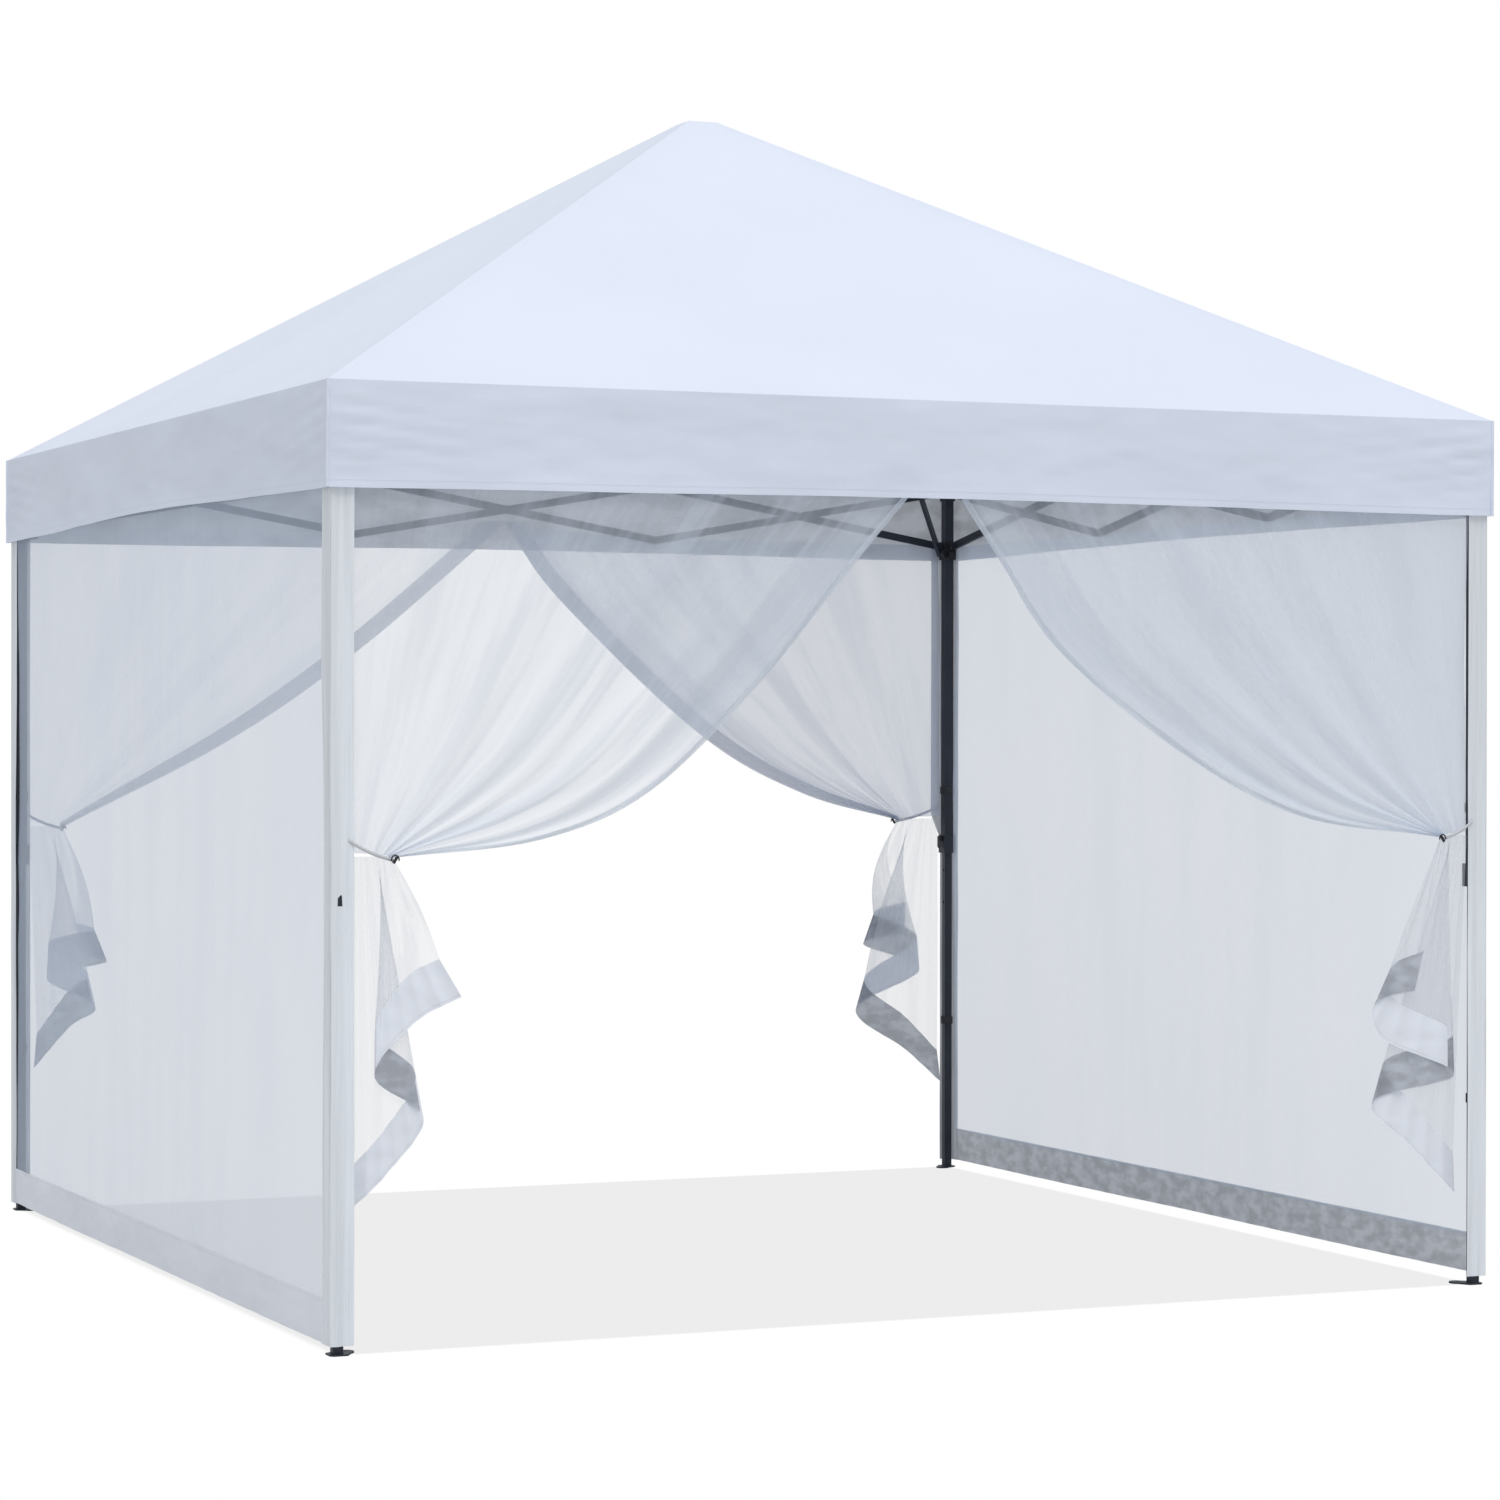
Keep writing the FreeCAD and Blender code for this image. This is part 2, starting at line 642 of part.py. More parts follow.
def pyramid(base_side, low, top_reach, high):
    item = doc.addObject("Part::Wedge", "Pyramid")
    reach = "(%s) / 2" % base_side
    tall = "%s - (%s)" % (high, low)
    bind(item, {
        "Xmin": "-(%s)" % reach, "Xmax": reach,
        "Zmin": "-(%s)" % reach, "Zmax": reach,
        "X2min": "-(%s)" % top_reach, "X2max": top_reach,
        "Z2min": "-(%s)" % top_reach, "Z2max": top_reach,
        "Ymin": "0", "Ymax": tall,
    })
    item.Placement = Placement(Vector(0, 0, 0), Rotation(Vector(1, 0, 0), 90))
    return at(item, z=low)


NET_FACE = "Sizes.eave_overhang - Sizes.cover_cloth - Sizes.cloth_gap"
NET_TOP = "Derived.truss_bottom + Sizes.bar_depth / 2"


def sleeve():
    # strip of cloth down the outside of the leg, an angle in section
    body = doc.addObject("PartDesign::Body", "Sleeve")
    sketch = sketch_on(body, "XY_Plane", "Sizes.hem_clear")
    far = "-(%s)" % NET_FACE
    near = "-(%s) + Sizes.sleeve_cloth" % NET_FACE
    edge = "Sizes.sleeve_reach"
    outline(sketch, [(far, far), (edge, far), (edge, near), (near, near), (near, edge), (far, edge)])
    pad(body, sketch, "%s - Sizes.hem_clear" % NET_TOP)
    return body


def closed_net():
    # a net wall that hangs closed, over its hem band
    start = "Sizes.sleeve_reach + Sizes.seat_gap"
    long = "Sizes.leg_spacing - 2 * (%s)" % start
    face = "-(%s)" % NET_FACE
    hem_top = "Sizes.hem_clear + Sizes.hem_band"
    hem = box(long, "Sizes.sleeve_cloth", "Sizes.hem_band", start, face, "Sizes.hem_clear")
    middle = "%s + (Sizes.sleeve_cloth - Sizes.net_cloth) / 2" % face
    net = box(long, "Sizes.net_cloth", "%s - (%s)" % (NET_TOP, hem_top), start, middle, hem_top)
    return gather(hem, net)


def cloth_strip(sections, mirrored):
    # a pleated sheet of even thickness through runs of points, in flat triangles
    faces = []
    for first, second in zip(sections, sections[1:]):
        for here in range(len(first) - 1):
            after = here + 1
            for corners in (
                (first[here], first[after], second[after]),
                (first[here], second[after], second[here]),
            ):
                points = [Vector(y, x, z) if mirrored else Vector(x, y, z) for x, y, z in corners]
                faces.append(Part.Face(Part.makePolygon(points + points[:1])))
    through = Vector(s["net_cloth"], 0, 0) if mirrored else Vector(0, s["net_cloth"], 0)
    solids = Part.makeShell(faces).extrude(through).Solids
    return solids[0].multiFuse(solids[1:]).removeSplitter().Solids[0]


def pleat(count, start, end, face, depth):
    # points across a pleated strip, in plan: alternate ones stand in by the pleat's depth
    points = []
    for index in range(count + 1):
        across = start + (end - start) * index / count
        points.append((across, face + depth * (index % 2)))
    return points


def curtain(reach, mirrored):
    # half of a door: hung along the top and drawn back to its tie beside the leg,
    # then falling open below the tie. reach: how far the loose part stands off the leg
    top = truss_bottom + s["bar_depth"] / 2
    tie_x, tie_z = s["tie_inset"], s["tie_height"]
    start = s["sleeve_reach"] + s["seat_gap"]
    far = half - s["door_gap"]
    net_face = s["eave_overhang"] - s["cover_cloth"] - s["cloth_gap"]
    tied = s["tie_bundle"]
    pleats = int(round(s["pleats"]))
    swag = []
    for step in range(5):
        share = 1 - step / 4
        depth = s["pleat_depth"] * (1 - share) + s["pleat_top"] * share
        across = pleat(pleats, 0, 1, -net_face, depth)
        section = []
        for place, y in across:
            # each strand runs from the top rail to the bundle, the inner edge sagging most
            x_top = start + (far - start) * place
            x_tie = tie_x - tied / 2 + tied * place
            sag = 1 + (s["door_sag"] - 1) * place
            section.append((x_tie + (x_top - x_tie) * share, y, tie_z + (top - tie_z) * share ** sag))
        swag.append(section)
    gap = s["seat_gap"]
    fall = []
    widths = ((0.0, tied), (0.2, 0.68 * reach), (0.4, reach), (0.72, 0.8 * reach), (1.0, 0.16 * reach))
    for share, width in widths:
        z = tie_z - gap - (tie_z - s["flap_low"]) * share
        edge = tie_x - tied / 2 if share == 0 else start
        across = pleat(pleats, edge, edge + width, -net_face, s["pleat_depth"])
        slant = s["flap_slant"] * share
        section = [(x, y, z + slant * (x - edge) / max(width, 1)) for x, y in across]
        fall.append(section)
    item = doc.addObject("Part::Feature", "Curtain")
    item.Shape = Part.makeCompound([cloth_strip(swag, mirrored), cloth_strip(fall, mirrored)])
    return item


def leg_strap(tube, height):
    # webbing round the leg that holds the sleeve to it
    inner = "%s + 2 * Sizes.seat_gap" % tube
    outer = "%s + 2 * Sizes.webbing" % inner
    low = "%s - Sizes.strap_width / 2" % height
    ring = centred_box(outer, outer, "Sizes.strap_width", z=low)
    hole = centred_box(inner, inner, "3 * Sizes.strap_width", z="%s - Sizes.strap_width" % low)
    return cut(ring, hole)


def top_strap(place, cloth):
    # webbing tab between the net's top edge and a low joint of the truss
    near = "-(%s) + %s + Sizes.seat_gap" % (NET_FACE, cloth)
    far = "%s - Sizes.seat_gap" % OUTER_PLANE
    low = "%s - Sizes.strap_width" % NET_TOP
    return centred_box("Sizes.strap_width", "%s - (%s)" % (far, near), "Sizes.strap_width",
                       place, "(%s + %s) / 2" % (far, near), low)


keep(cover(), "roof_cover")

wall_pieces = []
tie_pieces = []
for corner in range(4):
    stand = leg_frame(corner)
    mirrored = corner % 2 == 1
    reach = s["flap_reach_front"] if corner < 2 else s["flap_reach_rear"]
    pieces = [sleeve(), curtain(reach, mirrored)]
    if mirrored:
        pieces.append(closed_net())
    for item in pieces:
        item.Placement = stand.multiply(item.Placement)
        wall_pieces.append(item)
    straps = [
        leg_strap("Sizes.outer_tube", "Sizes.strap_high"),
        leg_strap("Sizes.inner_tube", "Sizes.strap_low"),
    ]
    cloth = "Sizes.sleeve_cloth" if mirrored else "2 * Sizes.pleat_top + Sizes.net_cloth"
    for count in (1, 2):
        place = "Sizes.truss_inset + %d * (Sizes.leg_spacing - 2 * Sizes.truss_inset) / 3" % count
        straps.append(top_strap(place, cloth))
    group = gather(*straps)
    group.Placement = stand
    tie_pieces.append(group)
keep(gather(*wall_pieces), "net_walls")
keep(gather(*tie_pieces), "net_straps")


# Write every piece, once all of them have proved sound
doc.recompute()
faults = [item.Name for item in doc.Objects if "Invalid" in item.State or "Error" in item.State]
for item in nodes:
    if item.Shape.isNull() or not item.Shape.isValid():
        faults.append(item.Label)
if faults:
    raise RuntimeError("not sound: " + ", ".join(faults))
os.makedirs("parts", exist_ok=True)
for item in nodes:
    item.Shape.exportStep("parts/%s.step" % item.Label)
print(len(nodes), "pieces written")
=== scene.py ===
import math

import bmesh
import bpy
import numpy as np
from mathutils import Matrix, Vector, noise


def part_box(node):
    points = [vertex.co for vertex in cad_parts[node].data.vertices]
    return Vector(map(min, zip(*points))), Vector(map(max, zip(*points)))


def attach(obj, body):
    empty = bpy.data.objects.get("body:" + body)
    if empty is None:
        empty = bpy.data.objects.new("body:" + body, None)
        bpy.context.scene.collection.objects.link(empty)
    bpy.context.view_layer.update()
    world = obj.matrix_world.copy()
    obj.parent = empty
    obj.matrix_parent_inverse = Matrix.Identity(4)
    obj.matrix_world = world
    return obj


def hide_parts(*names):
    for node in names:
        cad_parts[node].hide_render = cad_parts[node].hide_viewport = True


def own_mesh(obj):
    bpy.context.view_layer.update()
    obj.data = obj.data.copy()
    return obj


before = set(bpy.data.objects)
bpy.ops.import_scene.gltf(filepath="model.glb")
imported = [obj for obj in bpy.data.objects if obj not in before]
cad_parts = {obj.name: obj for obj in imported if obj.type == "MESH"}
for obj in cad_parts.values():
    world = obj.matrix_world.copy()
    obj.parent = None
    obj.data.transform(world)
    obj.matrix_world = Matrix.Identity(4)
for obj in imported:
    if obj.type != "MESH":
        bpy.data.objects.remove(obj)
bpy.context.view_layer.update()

# Metres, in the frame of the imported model: +Z up, the front door towards -Y.
# Cloth is laid out leg by leg: along is the way along a side from the leg's axis,
# out is the way in from the truss plane (negative is outwards).
cover_low, cover_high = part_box("roof_cover")
EAVE_HALF = cover_high.x + 0.006
HALF = 1.475
EAVE = 2.143
PEAK = cover_high.z
PEAK_HALF = 0.04
VALANCE_LOW = cover_low.z
NET_FACE = -0.0226
NET_TOP = 1.955
HEM_LOW, HEM_TOP = 0.024, 0.122
SLEEVE_REACH = 0.032
WIDE_SLEEVE = 0.046
HEM_BAND = 0.1
SEAM_AT, SEAM_HALF = 0.935, 0.006
FRONT_EDGE, REAR_EDGE = 0.014, 0.050
BUNDLE_START = 0.028
FLAP_START = 0.030
STRAP_WIDTH = 0.023
HIGH_STRAP, LOW_STRAP = 1.184, 0.462
OUTER_LEG_HALF, INNER_LEG_HALF = 0.0172, 0.0142
REAR_RIGHT = 2
LEGS = ["front_left", "front_right", "rear_right", "rear_left"]


def on_leg(leg, flip, along, out, z):
    # a point beside a leg: flip is False along the side that runs on counter-clockwise
    x, y = (out, along) if flip else (along, out)
    x, y = x - HALF, y - HALF
    for _ in range(leg):
        x, y = -y, x
    return Vector((x, y, z))


def direction(leg, flip, along, out, z=0.0):
    return on_leg(leg, flip, along, out, z) - on_leg(leg, flip, 0, 0, 0)


# Materials
def new_material(name):
    material = bpy.data.materials.new(name)
    material.use_nodes = True
    tree = material.node_tree
    tree.nodes.clear()
    return material, tree


def node(tree, kind, values=None, **settings):
    made = tree.nodes.new(kind)
    for key, value in settings.items():
        setattr(made, key, value)
    for key, value in (values or {}).items():
        socket = made.inputs[key]
        if isinstance(value, bpy.types.NodeSocket):
            tree.links.new(value, socket)
        else:
            socket.default_value = value
    return made


def ramp(tree, factor, stops):
    made = node(tree, "ShaderNodeValToRGB", {"Fac": factor})
    elements = made.color_ramp.elements
    while len(elements) < len(stops):
        elements.new(0.5)
    for element, (place, colour) in zip(elements, stops):
        element.position = place
        element.color = (*colour, 1)
    return made.outputs["Color"]


def maths(tree, kind, first, second=0.0, third=None):
    values = {0: first, 1: second}
    if third is not None:
        values[2] = third
    return node(tree, "ShaderNodeMath", values, operation=kind).outputs[0]


def place_of(tree):
    return node(tree, "ShaderNodeTexCoord").outputs["Object"]


def grain(tree, scale, detail=3.0, stretch=None):
    where = place_of(tree)
    if stretch:
        where = node(tree, "ShaderNodeMapping", {"Vector": where, "Scale": stretch}).outputs[0]
    values = {"Vector": where, "Scale": scale, "Detail": detail}
    return node(tree, "ShaderNodeTexNoise", values).outputs["Fac"]


def bump(tree, height, strength, distance, normal=None):
    values = {"Height": height, "Strength": strength, "Distance": distance}
    if normal:
        values["Normal"] = normal
    return node(tree, "ShaderNodeBump", values).outputs["Normal"]


def output(tree, shader):
    node(tree, "ShaderNodeOutputMaterial", {"Surface": shader})


def frame_finish():
    # dark slate powder coat on the tubes
    material, tree = new_material("frame_finish")
    speck = grain(tree, 900, 2)
    cloud = grain(tree, 6, 4)
    coat = ramp(tree, cloud, [(0.3, (0.018, 0.023, 0.036)), (0.7, (0.030, 0.037, 0.054))])
    edge = node(tree, "ShaderNodeBevel", {"Radius": 0.0009}, samples=4).outputs["Normal"]
    normal = bump(tree, speck, 0.25, 0.0004, edge)
    rough = maths(tree, "MULTIPLY_ADD", speck, 0.12, 0.36)
    shader = node(tree, "ShaderNodeBsdfPrincipled", {
        "Base Color": coat, "Roughness": rough, "Metallic": 0.25, "Normal": normal,
    })
    output(tree, shader.outputs[0])
    return material


def nylon(name, colour):
    material, tree = new_material(name)
    speck = grain(tree, 700, 3)
    cloud = grain(tree, 12, 3)
    dark = tuple(0.7 * c for c in colour)
    tone = ramp(tree, cloud, [(0.3, dark), (0.7, colour)])
    edge = node(tree, "ShaderNodeBevel", {"Radius": 0.0012}, samples=4).outputs["Normal"]
    normal = bump(tree, speck, 0.3, 0.0003, edge)
    rough = maths(tree, "MULTIPLY_ADD", speck, 0.15, 0.42)
    shader = node(tree, "ShaderNodeBsdfPrincipled", {
        "Base Color": tone, "Roughness": rough, "Normal": normal,
    })
    output(tree, shader.outputs[0])
    return material


def weave(tree, pitch):
    # over and under of a plain weave, from two crossed waves
    where = place_of(tree)
    turned = node(tree, "ShaderNodeMapping", {"Vector": where, "Rotation": (0.6, 0.7, 0.5)}).outputs[0]
    waves = []
    for axis in ("X", "Y"):
        wave = node(tree, "ShaderNodeTexWave", {"Vector": turned, "Scale": 0.5 / pitch / 3.14},
                    wave_type="BANDS", bands_direction=axis)
        waves.append(wave.outputs["Fac"])
    return maths(tree, "MULTIPLY", *waves)


def coated_cloth(name, outside, inside, stretch, relief, painted_fold_shade=0.95, stitched=True):
    # tight polyester: white outside, silver coating inside; the cloudy darker streaks in the outside colour
    # are painted shade of soft folds
    material, tree = new_material(name)
    back = node(tree, "ShaderNodeNewGeometry").outputs["Backfacing"]
    cloud = grain(tree, 1.6, 2, stretch)
    fine = grain(tree, 9, 3, stretch)
    # painted shade: the cloud noise darkens the outside colour in streaks, standing in for the shade in
    # fold hollows
    outside_with_fold_shade = ramp(tree, cloud, [(0.38, tuple(painted_fold_shade * c for c in outside)), (0.60, outside)])
    silver = ramp(tree, fine, [(0.38, tuple(0.74 * c for c in inside)), (0.62, inside)])
    # sockets 0, 6 and 7 are the factor and the two colours, output 2 is the mixed colour
    mix = node(tree, "ShaderNodeMix", {0: back, 6: outside_with_fold_shade, 7: silver}, data_type="RGBA")
    tone = mix.outputs[2]
    threads = weave(tree, 0.0007)
    soft = grain(tree, 2.6, 2, stretch)
    crease = grain(tree, 9, 4, stretch)
    normal = bump(tree, soft, 0.5, relief)
    normal = bump(tree, crease, 0.25, 0.15 * relief, normal)
    normal = bump(tree, threads, 0.25, 0.0002, normal)
    if stitched:
        uv = node(tree, "ShaderNodeTexCoord").outputs["UV"]
        rise = node(tree, "ShaderNodeSeparateXYZ", {"Vector": uv}).outputs["Y"]
        line = maths(tree, "COMPARE", rise, SEAM_AT, SEAM_HALF)
        normal = bump(tree, maths(tree, "SUBTRACT", 1.0, line), 0.8, 0.0015, normal)
    rough = maths(tree, "MULTIPLY_ADD", back, -0.12, 0.62)
    shader = node(tree, "ShaderNodeBsdfPrincipled", {
        "Base Color": tone, "Roughness": rough, "Normal": normal,
        "Sheen Weight": 0.15, "Sheen Roughness": 0.5,
    })
    thin = node(tree, "ShaderNodeBsdfTranslucent", {"Color": tone, "Normal": normal})
    share = maths(tree, "MULTIPLY_ADD", back, 0.42, 0.08)
    both = node(tree, "ShaderNodeMixShader", {0: share, 1: shader.outputs[0], 2: thin.outputs[0]})
    output(tree, both.outputs[0])
    return material


def netting(name, colour, cover, streaks, contrast):
    # sheer net: part of the light passes, less where folds lie over each other
    material, tree = new_material(name)
    uv = node(tree, "ShaderNodeTexCoord").outputs["UV"]
    across = node(tree, "ShaderNodeSeparateXYZ", {"Vector": uv}).outputs["X"]
    along = node(tree, "ShaderNodeMapping", {"Vector": uv, "Scale": (streaks, 0.8, 1)}).outputs[0]
    folds = node(tree, "ShaderNodeTexNoise", {
        "Vector": along, "Scale": 1.0, "Detail": 4.0, "Roughness": 0.6,
    }).outputs["Fac"]
    fine = node(tree, "ShaderNodeMapping", {"Vector": uv, "Scale": (streaks * 6, 1.1, 1)}).outputs[0]
    threads = node(tree, "ShaderNodeTexNoise", {"Vector": fine, "Scale": 1.0, "Detail": 3.0}).outputs["Fac"]
    layers = node(tree, "ShaderNodeMapRange", {
        "Value": folds, "From Min": 0.44, "From Max": 0.60, "To Min": -0.35, "To Max": 0.65,
    }, interpolation_type="SMOOTHSTEP").outputs[0]
    weight = maths(tree, "MULTIPLY_ADD", across, 0.30 * contrast, 0.10 * contrast)
    cloud = grain(tree, 1.4, 3)
    facing = node(tree, "ShaderNodeLayerWeight", {"Blend": 0.3}).outputs["Facing"]
    dense = maths(tree, "MULTIPLY_ADD", layers, weight, cover)
    dense = maths(tree, "MULTIPLY_ADD", maths(tree, "SUBTRACT", threads, 0.5), 0.16 * contrast, dense)
    dense = maths(tree, "MULTIPLY_ADD", maths(tree, "SUBTRACT", cloud, 0.5), 0.10, dense)
    dense = maths(tree, "MULTIPLY_ADD", facing, 0.22, dense)
    dense = node(tree, "ShaderNodeClamp", {"Value": dense, "Min": 0.05, "Max": 0.97}).outputs[0]
    tone = ramp(tree, cloud, [(0.3, tuple(0.96 * c for c in colour)), (0.7, colour)])
    normal = bump(tree, folds, 0.5, 0.008)
    normal = bump(tree, grain(tree, 4, 4), 0.3, 0.010, normal)
    front = node(tree, "ShaderNodeBsdfDiffuse", {"Color": tone, "Normal": normal})
    through = node(tree, "ShaderNodeBsdfTranslucent", {"Color": tone, "Normal": normal})
    cloth = node(tree, "ShaderNodeMixShader", {0: 0.42, 1: front.outputs[0], 2: through.outputs[0]})
    clear = node(tree, "ShaderNodeBsdfTransparent")
    both = node(tree, "ShaderNodeMixShader", {0: dense, 1: clear.outputs[0], 2: cloth.outputs[0]})
    output(tree, both.outputs[0])
    return material


def webbing(name, colour):
    material, tree = new_material(name)
    rows = node(tree, "ShaderNodeTexWave", {"Vector": place_of(tree), "Scale": 320.0},
                wave_type="BANDS", bands_direction="Z").outputs["Fac"]
    fuzz = grain(tree, 1400, 2)
    tone = ramp(tree, fuzz, [(0.3, tuple(0.6 * c for c in colour)), (0.7, colour)])
    normal = bump(tree, maths(tree, "ADD", rows, fuzz), 0.5, 0.0004)
    shader = node(tree, "ShaderNodeBsdfPrincipled", {
        "Base Color": tone, "Roughness": 0.85, "Normal": normal,
    })
    output(tree, shader.outputs[0])
    return material


POWDER = frame_finish()
NYLON = nylon("black_nylon", (0.021, 0.022, 0.026))
WHITE = (0.78, 0.835, 0.965)
SILVER = (0.70, 0.73, 0.78)
ROOF = coated_cloth("roof_cloth", WHITE, SILVER, (1, 1, 1), 0.012, painted_fold_shade=0.98, stitched=False)
COVER = coated_cloth("cover_cloth", (0.80, 0.86, 0.99), SILVER, (1, 1, 2.2), 0.035, painted_fold_shade=0.97)
HEM = coated_cloth("hem_cloth", (0.89, 0.93, 1.0), SILVER, (2, 2, 4), 0.015, painted_fold_shade=0.97)
# the sleeves get the strongest painted fold shade: long vertical dark streaks stand in for their shaded
# folds
SLEEVE = coated_cloth("sleeve_cloth", (0.90, 0.95, 1.0), SILVER, (22, 22, 0.6), 0.02,
                      painted_fold_shade=0.90, stitched=False)
NET = netting("net_cloth", (0.74, 0.83, 0.97), 0.44, 5.0, 0.10)
SWAG = netting("swag_cloth", (0.80, 0.87, 0.97), 0.46, 9.0, 0.75)
BAND = netting("edge_band", (0.84, 0.90, 0.97), 0.66, 18.0, 0.3)
# painted shade: the rear right curtain and the rear edge bands are darker copies of the net colours,
# standing in for the roof's shade inside the canopy; the higher cover stands for the doubled layers
SHADED = netting("rear_swag_painted_shade", (0.66, 0.72, 0.84), 0.58, 6.0, 0.5)
SHADED_BAND = netting("rear_edge_band_painted_shade", (0.56, 0.60, 0.70), 0.62, 18.0, 0.3)
SHEER = netting("sheer_swag_cloth", (0.84, 0.88, 0.96), 0.18, 6.0, 0.4)
FLAP = netting("flap_cloth", (0.93, 0.95, 0.99), 0.34, 8.0, 0.5)
CURTAINS = [(SWAG, BAND), (SWAG, BAND), (SHADED, SHADED_BAND), (SHEER, SHADED_BAND)]
TAPE = webbing("black_webbing", (0.045, 0.047, 0.052))
CORD = webbing("white_tape", (0.78, 0.80, 0.84))

for name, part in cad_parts.items():
    part.data.materials.clear()
    moulded = name.startswith(("slider", "leg_button", "hub"))
    part.data.materials.append(NYLON if moulded else POWDER)


# Mesh building
def mesh_piece(name, points, faces, material, smooth=True, uvs=None):
    mesh = bpy.data.meshes.new(name)
    mesh.from_pydata([tuple(p) for p in points], [], faces)
    mesh.materials.append(material)
    if smooth:
        mesh.shade_smooth()
    if uvs is not None:
        layer = mesh.uv_layers.new(name="UVMap")
        for loop in mesh.loops:
            layer.data[loop.index].uv = uvs[loop.vertex_index]
    mesh.validate()
    mesh.update()
    piece = bpy.data.objects.new(name, mesh)
    bpy.context.scene.collection.objects.link(piece)
    return piece


def grid_piece(name, rows, material, flip=False):
    # rows of points, all of one length, as a sheet with UVs from its two directions
    height, width = len(rows), len(rows[0])
    points, uvs = [], []
    for r, row in enumerate(rows):
        for c, point in enumerate(row):
            points.append(point)
            uvs.append((c / (width - 1), r / (height - 1)))
    faces = []
    for r in range(height - 1):
        for c in range(width - 1):
            first = r * width + c
            face = (first, first + 1, first + width + 1, first + width)
            faces.append(face[::-1] if flip else face)
    return mesh_piece(name, points, faces, material, uvs=uvs)


def tube(name, path, radius, material, sides=10):
    # a round cord along a path of points
    rows = []
    for i, point in enumerate(path):
        ahead = path[min(i + 1, len(path) - 1)] - path[max(i - 1, 0)]
        ahead = ahead.normalized()
        side = ahead.cross(Vector((0.123, 0.321, 0.94))).normalized()
        up = ahead.cross(side)
        ring = []
        for k in range(sides + 1):
            angle = 2 * math.pi * k / sides
            ring.append(point + side * radius * math.cos(angle) + up * radius * math.sin(angle))
        rows.append(ring)
    return grid_piece(name, rows, material)


def declare(piece, width, length):
    # works out a flat length from the piece's own area where the given one would be far off; the result is
    # not kept or used
    area = sum(polygon.area for polygon in piece.data.polygons)
    share = area / (width * length)
    if not 0.35 < share < 0.999:
        length *= share / 0.8


def ripple(seed, a, b, scale, size):
    return size * noise.fractal(Vector((a * scale, b * scale, seed * 7.31)), 1.0, 2.1, 3)


# Roof
def roof_point(side, across, up):
    # across runs from -1 to 1 over a side, up from 0 at the eave to 1 at the peak
    reach = EAVE_HALF + (PEAK_HALF - EAVE_HALF) * up
    slope = (PEAK - EAVE) / (EAVE_HALF - PEAK_HALF)
    inward = Vector((0, slope, -1)).normalized()
    sag = 0.016 * (1 - across * across) * math.sin(math.pi * min(1, up * 1.02))
    crease = ripple(side, across * 2, up * 2, 1.3, 0.0022) * (1 - across ** 4) * math.sin(math.pi * up)
    x, y, z = across * reach, -reach, EAVE + (PEAK - EAVE) * up
    point = Vector((x, y, z)) + inward * max(0.0, sag + crease)
    for _ in range(side):
        point.x, point.y = -point.y, point.x
    return point


def hip_line(leg):
    start = Vector((-EAVE_HALF, -EAVE_HALF, EAVE))
    end = Vector((-PEAK_HALF, -PEAK_HALF, PEAK))
    for _ in range(leg):
        start.x, start.y = -start.y, start.x
        end.x, end.y = -end.y, end.x
    return start, end


def knuckle(leg):
    low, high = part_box("lower_rafter_" + LEGS[leg])
    x = low.x if leg in (1, 2) else high.x
    y = low.y if leg in (2, 3) else high.y
    return Vector((x, y, high.z))


def roof_half(side, leg, sign):
    # half of a side, from the middle line to the hip over the leg
    columns, rows_up = 26, 34
    rows = []
    for r in range(rows_up + 1):
        up = r / rows_up
        rows.append([roof_point(side, sign * c / columns, up) for c in range(columns + 1)])
    start, end = hip_line(leg)
    hip = (end - start).normalized()
    middle = roof_point(side, 0, 0.5)
    fold = knuckle(leg)
    for part, keep_low in (("outer", True), ("inner", False)):
        rafter = "lower_rafter_" if keep_low else "upper_rafter_"
        name = "roof_%s_%d_%s" % (part, side, LEGS[leg])
        piece = grid_piece(name, rows, ROOF, flip=sign < 0)
        work = bmesh.new()
        work.from_mesh(piece.data)
        everything = list(work.verts) + list(work.edges) + list(work.faces)
        bmesh.ops.bisect_plane(work, geom=everything, plane_co=fold, plane_no=hip,
                               clear_outer=keep_low, clear_inner=not keep_low)
        work.to_mesh(piece.data)
        work.free()
        piece.data.update()
        declare(piece, 1.5, 1.7)
        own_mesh(piece)
        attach(piece, rafter + LEGS[leg])
        if side == 0 and sign < 0 and keep_low:
            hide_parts("roof_cover")


for side in range(4):
    roof_half(side, side, -1)
    roof_half(side, (side + 1) % 4, 1)

# the blunt top of the cover
cap_rows = []
for r in range(7):
    y = PEAK_HALF * (2 * r / 6 - 1)
    row = []
    for c in range(7):
        x = PEAK_HALF * (2 * c / 6 - 1)
        row.append(Vector((x, y, PEAK)))
    cap_rows.append(row)
cap = grid_piece("roof_cap", cap_rows, ROOF)
declare(cap, 2 * PEAK_HALF, 2 * PEAK_HALF)
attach(cap, "hub")


def hang(piece, leg):
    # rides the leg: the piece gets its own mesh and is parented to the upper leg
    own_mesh(piece)
    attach(piece, "upper_leg_" + LEGS[leg])


